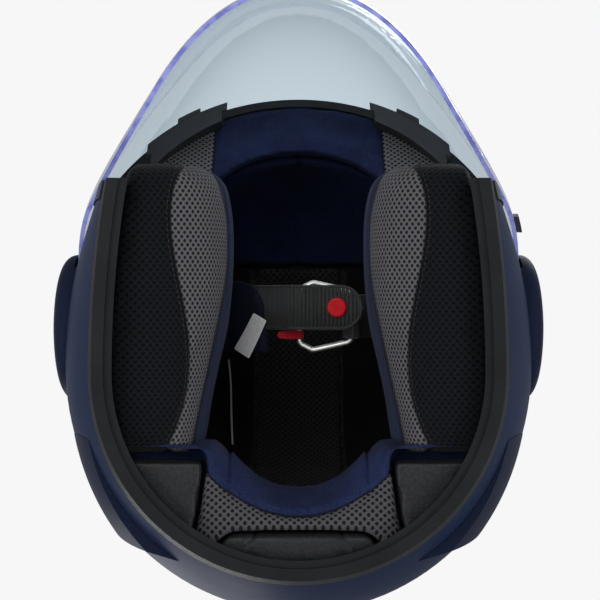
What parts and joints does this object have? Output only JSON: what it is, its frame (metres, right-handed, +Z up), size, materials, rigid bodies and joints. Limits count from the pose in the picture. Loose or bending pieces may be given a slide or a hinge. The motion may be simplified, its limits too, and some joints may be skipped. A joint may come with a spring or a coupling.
{
  "type": "open-face motorcycle helmet",
  "caption": "Open-face helmet with a long clear swinging visor, brow vents, padded comfort liner and a webbing chin strap with D-rings.",
  "frame": {"origin": "on the ground, at the middle of the box round the closed helmet, seen from above", "axes": "+X towards the wearer's left, +Y towards the nape, +Z up; the face looks along -Y"},
  "size_m": [0.258, 0.325, 0.2643],
  "materials": {
    "shell_paint": "matt dark navy paint",
    "liner_foam": "black moulded foam",
    "black_rubber": "satin black edge rubber",
    "visor_clear": "clear polished visor with a bright edge",
    "dark_plastic": "dark grey moulded plastic",
    "pod_plastic": "matt dark navy plastic",
    "nylon_natural": "grey nylon",
    "steel": "bright steel",
    "ring_chrome": "chromed wire",
    "navy_fabric": "brushed navy fabric",
    "mesh_fabric": "black and grey mesh fabric",
    "leatherette": "black leatherette",
    "webbing": "ribbed black webbing",
    "red_plastic": "red plastic",
    "red_tape": "red tape",
    "label_white": "bare white label"
  },
  "bodies": {
    "helmet": {"outer_shell": "shell_paint", "impact_liner": "liner_foam", "eyeport_trim": "black_rubber", "bottom_moulding": "black_rubber", "brow_vent_left": "dark_plastic", "brow_vent_right": "dark_plastic", "visor_base_left": "nylon_natural", "visor_base_right": "nylon_natural", "side_pod_left": "pod_plastic", "side_pod_right": "pod_plastic", "base_screws": "steel", "crown_vent": "pod_plastic", "rear_exhaust": "pod_plastic", "rear_wing_left": "pod_plastic", "rear_wing_right": "pod_plastic", "brow_pad": "navy_fabric", "crown_front_pad": "navy_fabric", "crown_centre_pad": "mesh_fabric", "crown_side_pad_left": "mesh_fabric", "crown_side_pad_right": "mesh_fabric", "cheek_pad_left": "mesh_fabric", "cheek_pad_right": "mesh_fabric", "cheek_base_left": "dark_plastic", "cheek_base_right": "dark_plastic", "neck_roll": "navy_fabric", "corner_pad_left": "leatherette", "corner_pad_right": "leatherette", "nape_panel": "leatherette", "strap_long": "webbing", "strap_short": "webbing", "anchor_plate_left": "steel", "anchor_plate_right": "steel", "strap_rivet_left": "steel", "strap_rivet_right": "steel", "strap_sleeve": "navy_fabric", "sewn_label": "label_white", "snap_cap": "red_plastic", "snap_stud": "steel"},
    "visor_swing": {"visor": "visor_clear", "visor_tab": "dark_plastic"},
    "left_shutter": {"vent_shutter_left": "dark_plastic"},
    "right_shutter": {"vent_shutter_right": "dark_plastic"},
    "crown_slider": {"crown_vent_slider": "dark_plastic"},
    "lower_ring": {"d_ring_lower": "ring_chrome", "pull_tab": "red_tape"},
    "upper_ring": {"d_ring_upper": "ring_chrome"}
  },
  "joints": [
    {"name": "visor_hinge", "type": "hinge", "parent": "helmet", "child": "visor_swing", "pos_m": [0, 0.0145, 0.11], "axis": [-1, 0, 0], "range_deg": [0, 60]},
    {"name": "left_shutter_slide", "type": "slide", "parent": "helmet", "child": "left_shutter", "axis": [0.7625, 0.4575, -0.4575], "range_m": [0, 0.008]},
    {"name": "right_shutter_slide", "type": "slide", "parent": "helmet", "child": "right_shutter", "axis": [-0.7625, 0.4575, -0.4575], "range_m": [0, 0.008]},
    {"name": "crown_vent_slide", "type": "slide", "parent": "helmet", "child": "crown_slider", "axis": [0, 0.961, -0.2766], "range_m": [0, 0.008]},
    {"name": "lower_ring_hinge", "type": "hinge", "parent": "helmet", "child": "lower_ring", "pos_m": [0.0275, 0.005, 0.074], "axis": [0, 1, 0], "range_deg": [-12, 0]},
    {"name": "upper_ring_hinge", "type": "hinge", "parent": "helmet", "child": "upper_ring", "pos_m": [0.0275, 0.005, 0.0783], "axis": [0, 1, 0], "range_deg": [0, 20]}
  ]
}
